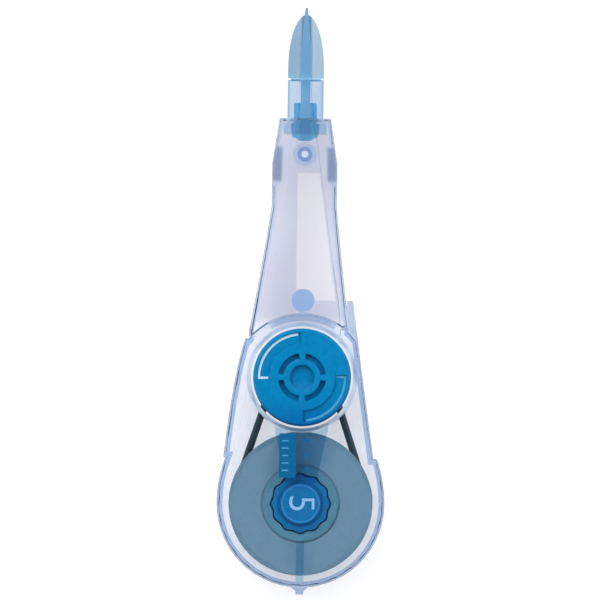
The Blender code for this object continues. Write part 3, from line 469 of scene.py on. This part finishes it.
# %% [markdown]
# ## Flat pieces
#
# Pad printing lays ink on the plastic a few hundredths of a millimetre thick, and some small parts of the roller
# are flat as well. Ink could be painted into the plastic's material, but a mark with its own thin solid keeps a
# sharp edge at any size and can ride any body. So a flat piece is one or more outlines in millimetres, closed
# into slabs.

# %% Flat outlines
def arc_band(centre, inner, outer, start, end, steps=24):
    """A piece of a flat ring between two radii and two angles in degrees."""
    turns = [math.radians(start + (end - start) * i / steps) for i in range(steps + 1)]
    out = [(centre[0] + outer * math.cos(t), centre[1] + outer * math.sin(t)) for t in turns]
    back = [(centre[0] + inner * math.cos(t), centre[1] + inner * math.sin(t)) for t in reversed(turns)]
    return out + back


def ring(centre, inner, outer, steps=24):
    """A flat ring in four quarters with a hair between them, since an outline has no hole."""
    return [arc_band(centre, inner, outer, 90 * i, 90 * i + 89.9, steps) for i in range(4)]


def bar(x0, y0, x1, y1):
    """A rectangle from its lower left to its upper right corner."""
    return [(x0, y0), (x1, y0), (x1, y1), (x0, y1)]


print("a quarter ring has", len(arc_band((0, 0), 1, 2, 0, 90)), "points")

# %% Slab
INK_THICKNESS = 0.03 * MM


def slab(name, outlines, z, finish, body, thickness=INK_THICKNESS):
    """Outlines made into one flat piece that rides a body; it is as thin as ink unless told otherwise."""
    points, faces = [], []
    for outline in outlines:
        first, count = len(points), len(outline)
        points += [(x * MM, y * MM, z) for x, y in outline]
        points += [(x * MM, y * MM, z + thickness) for x, y in outline]
        faces.append(tuple(first + i for i in reversed(range(count))))
        faces.append(tuple(first + count + i for i in range(count)))
        for i in range(count):
            k = (i + 1) % count
            faces.append((first + i, first + k, first + count + k, first + count + i))
    mesh = bpy.data.meshes.new(name)
    mesh.from_pydata(points, [], faces)
    mesh.materials.append(finish)
    piece = bpy.data.objects.new(name, mesh)
    scene.collection.objects.link(piece)
    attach(piece, body)


print("ink is", round(INK_THICKNESS / MM, 2), "mm thick")

# %% [markdown]
# ## Leaf tongues and first turns
#
# On the roller the head's guide leaves run down into the sleeve's mouth, and the first turns of tape lie tight on
# the core. The solids leave a fit gap in both places, which would show as a white line and a black ring. Larger
# solids could close the gaps, but the CAD keeps its clearances, so short tongues and a narrow ring of film bridge
# them here.

# %% Leaf tongues
FIT_GAP, HAIRLINE = 0.25, 0.02
LEAF_THICKNESS = 0.6
TONGUE_INNER, TONGUE_OUTER, TONGUE_LAP = 0.9, 2.8, 0.3
sleeve_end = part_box("head_sleeve")[1][1] / MM
tongue_foot, tongue_end = sleeve_end - TONGUE_LAP, sleeve_end + FIT_GAP - HAIRLINE
tongues = [bar(-TONGUE_OUTER, tongue_foot, -TONGUE_INNER, tongue_end),
           bar(TONGUE_INNER, tongue_foot, TONGUE_OUTER, tongue_end)]
head_low, head_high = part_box("transfer_head")
for name, z in (("leaf_tongue_back", head_low[2]), ("leaf_tongue_front", head_high[2] - LEAF_THICKNESS * MM)):
    slab(name, tongues, z, blue_polypropylene, "case", LEAF_THICKNESS * MM)
    print(name, "lies at", round(z / MM, 2), "mm, from", round(tongue_foot, 2), "to", round(tongue_end, 2), "mm")

# %% First turns
TURNS_BELOW, TURNS_HEIGHT = 0.1, 0.5
core_low, core_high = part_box("tape_core")
core_radius = (core_high[0] - core_low[0]) / 2 / MM
turns_inner, turns_outer = core_radius + HAIRLINE, core_radius + FIT_GAP - HAIRLINE
turns_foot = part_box("supply_roll")[1][2] - (TURNS_BELOW + TURNS_HEIGHT) * MM
slab("first_turns", ring(middle_mm("supply_roll"), turns_inner, turns_outer), turns_foot, wound_film_edge,
     "supply_reel", TURNS_HEIGHT * MM)
print("first turns:", round(turns_inner, 2), "to", round(turns_outer, 2), "mm")

# %% [markdown]
# ## Turn marks and the cap's rim
#
# Two hooked marks lie in the take-up disc's recesses and show which way it turns when the tape is wound tight.
# Their colour is painted highlight on the recessed arrows: white on the mark towards the light, a dimmer blue on the
# other. A fine wash of ink runs round the hub cap's edge. They could be regions of the blue plastic, but the wash is
# ink, a layer of its own, and as slabs the marks turn with their reels.

# %% Turn marks
# Painted highlights: white where light catches one recessed arrow, a dimmer blue on the other. The dimmer blue is
# also the gauge's tick ink.
white_painted_highlight = satin("white_painted_highlight", "#c4e6fa", "#d4effd", 0.5, 0.3, 0.05)
tick_ink_and_dim_painted_highlight = satin("tick_ink_and_dim_painted_highlight", "#2f97cc", "#5cb0da", 0.5, 0.5, 0.05)
MARK_LIFT, RECESS_DEPTH = 0.02 * MM, 0.4 * MM
HOOK_INNER, HOOK_OUTER, HOOK_START, HOOK_END = 7.85, 8.3, 96, 183
BARB_INNER, BARB_OUTER, BARB_START = 6.3, 7.84, 179.6
# Both marks are painted highlights, one bright and one dim.
for name, turn, ink in (("turn_mark_painted_highlight", 0, white_painted_highlight), ("turn_mark_dim_painted_highlight", 180, tick_ink_and_dim_painted_highlight)):
    hook = [arc_band(disc_middle, HOOK_INNER, HOOK_OUTER, HOOK_START + turn, HOOK_END + turn),
            arc_band(disc_middle, BARB_INNER, BARB_OUTER, BARB_START + turn, HOOK_END + turn, 4)]
    slab(name, hook, disc_high[2] - RECESS_DEPTH + MARK_LIFT, ink, "takeup_reel")
    print(name, "spans", HOOK_END - HOOK_START, "degrees")

# %% Cap rim
# Thin blue ink over blue plastic.
thin_blue_ink = satin("thin_blue_ink", "#1f7ab8", "#2f87c2", 0.45, 0.3, 0.05)
WASH_INNER, WASH_OUTER = 3.3, 3.6
slab("cap_rim_wash", ring(cap_middle, WASH_INNER, WASH_OUTER, 12), cap_top + MARK_LIFT, thin_blue_ink, "supply_reel")
print("rim wash from", WASH_INNER, "to", WASH_OUTER, "mm")

# %% [markdown]
# ## The tape gauge
#
# A blue strip with ticks, printed on the front plate over the roll, shows how much tape is left: the roll's edge
# draws in past the ticks as it is used. Three dots stand beside it. It could be one flat picture, but bars worked
# out from a step keep the ticks even and can be resized.

# %% Gauge
# Blue pad ink on clear plastic: even and slightly glossy.
blue_pad_ink = satin("blue_pad_ink", "#0a5d90", "#0f689c", 0.4, 0.4, 0.05)
GAUGE_LEFT, GAUGE_RIGHT, GAUGE_TOP, GAUGE_FOOT = -4.1, -1.0, -24.9, -33.2
TICKS, TICK_HALF, TICK_LIFT = 5, 0.12, 0.04 * MM
TICK_LEFT, TICK_RIGHT = GAUGE_LEFT + 0.5, GAUGE_LEFT + 1.7
DOTS, DOT_LEFT, DOT_SIZE, DOT_RISE = 3, 0.7, 0.7, 1.2
plate_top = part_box("front_shell")[1][2] + MARK_LIFT
tick_step = (GAUGE_TOP - GAUGE_FOOT) / (TICKS + 1)
tick_rows = [GAUGE_FOOT + tick_step * (i + 1) for i in range(TICKS)]
dot_rows = [GAUGE_FOOT + 2 * tick_step * i + DOT_RISE for i in range(DOTS)]
ticks = [bar(TICK_LEFT, y - TICK_HALF, TICK_RIGHT, y + TICK_HALF) for y in tick_rows]
dots = [bar(DOT_LEFT, y, DOT_LEFT + DOT_SIZE, y + DOT_SIZE) for y in dot_rows]
slab("gauge_strip", [bar(GAUGE_LEFT, GAUGE_FOOT, GAUGE_RIGHT, GAUGE_TOP)], plate_top, blue_pad_ink, "case")
slab("gauge_ticks", ticks, plate_top + TICK_LIFT, tick_ink_and_dim_painted_highlight, "case")
slab("gauge_dots", dots, plate_top, blue_pad_ink, "case")
print("gauge ticks every", round(tick_step, 2), "mm")

# %% [markdown]
# ## The table
#
# The roller lies on a white table. Brighter lamps would turn any table white, and wash out the blue as well. So
# the paper is plain diffuse grey-white, which keeps the shadow, and glows only for rays that come from the
# camera, from a reflection or through the clear plastic. That way it hardly lights the roller.

# %% Paper
# Matt coated paper: faintly mottled.
GLOW = 1.32
white_paper, tree = empty_material("white_paper")
paper = layered(tree, "#bdbdbd", "#bfbfbf", grain(tree, 2.0, 0.0, 1.0))
ray = add(tree, "LightPath").outputs
direct = add(tree, "Math", {0: ray["Is Camera Ray"], 1: ray["Is Glossy Ray"]}, operation="MAXIMUM")
seen = add(tree, "Math", {0: direct, 1: ray["Is Transmission Ray"]}, operation="MAXIMUM")
strength = add(tree, "Math", {0: seen, 1: GLOW}, operation="MULTIPLY")
glow = add(tree, "Emission", {"Color": paper, "Strength": strength})
surface = add(tree, "AddShader", {0: add(tree, "BsdfDiffuse", {"Color": paper}), 1: glow})
add(tree, "OutputMaterial", {"Surface": surface})
print("paper:", white_paper.name, "glows by", GLOW)

# %% Table top
TABLE_HALF, TABLE_DROP = 1.0, 0.2 * MM
table_mesh = bpy.data.meshes.new("table_top")
corners = bar(-TABLE_HALF, -TABLE_HALF, TABLE_HALF, TABLE_HALF)
table_mesh.from_pydata([(x, y, 0) for x, y in corners], [], [(0, 1, 2, 3)])
table_mesh.materials.append(white_paper)
table = bpy.data.objects.new("table_top", table_mesh)
table.location = (0, 0, -TABLE_DROP)
scene.collection.objects.link(table)
print("table:", 2 * TABLE_HALF, "m wide")

# %% [markdown]
# ## The studio
#
# Flat clear plates mirror whatever hangs over them, and a white ceiling would lay a haze on everything inside the
# case. So the studio has white walls low down and a ceiling that falls off to dark. Two large soft lamps, a
# stronger one on the left, light the reels; they aren't mirrored in the plates.

# %% Studio walls
WALLS_END, CEILING_FROM, CEILING_LIGHT = 0.2, 0.9, 0.08
studio = bpy.data.worlds.new("studio")
scene.world = studio
studio.use_nodes = True
sky = studio.node_tree
sky.nodes.clear()
height = add(sky, "SeparateXYZ", {0: add(sky, "TexCoord")}).outputs["Z"]
walls = add(sky, "MapRange", {"Value": height, "From Min": WALLS_END, "From Max": CEILING_FROM,
                              "To Min": 1.0, "To Max": CEILING_LIGHT}, interpolation_type="SMOOTHSTEP")
add(sky, "OutputWorld", {"Surface": add(sky, "Background", {"Color": linear("#ffffff"), "Strength": walls})})
print("walls at 1.0, ceiling at", CEILING_LIGHT)

# %% Lamps
LAMP_WIDTH = 600 * MM


def soft_lamp(name, place_mm, watts):
    """A square lamp that faces the roller."""
    light = bpy.data.lights.new(name, "AREA")
    light.size = LAMP_WIDTH
    light.energy = watts
    lamp = bpy.data.objects.new(name, light)
    lamp.location = Vector(place_mm) * MM
    lamp.rotation_euler = (-lamp.location).to_track_quat("-Z", "Y").to_euler()
    lamp.visible_glossy = False
    scene.collection.objects.link(lamp)


soft_lamp("window_lamp", (-350, 300, 500), 3.3)
soft_lamp("fill_lamp", (350, 250, 500), 2.0)
print("lamps:", len(bpy.data.lights))

# %% [markdown]
# ## The camera
#
# The photograph looks straight down and shows no perspective. A very long lens would come close, but an
# orthographic camera has none at all, and its scale follows from the roller's 110 mm against its length in
# pixels. The roller lies a little askew in the frame; the camera rolls by that angle, because the part itself
# stays square to its axes.

# %% Camera
MM_PER_PIXEL, PIXELS = 0.18688, 600
ASKEW = math.radians(0.73)
CAMERA_PLACE = (-0.57 * MM, 0.05 * MM, 0.4)
camera = bpy.data.objects.new("camera", bpy.data.cameras.new("camera"))
camera.data.type = "ORTHO"
camera.data.ortho_scale = MM_PER_PIXEL * PIXELS * MM
camera.location = CAMERA_PLACE
camera.rotation_euler = (0, 0, ASKEW)
scene.collection.objects.link(camera)
scene.camera = camera
scene.view_settings.view_transform = "Standard"
print("camera shows", round(camera.data.ortho_scale / MM, 1), "mm across")
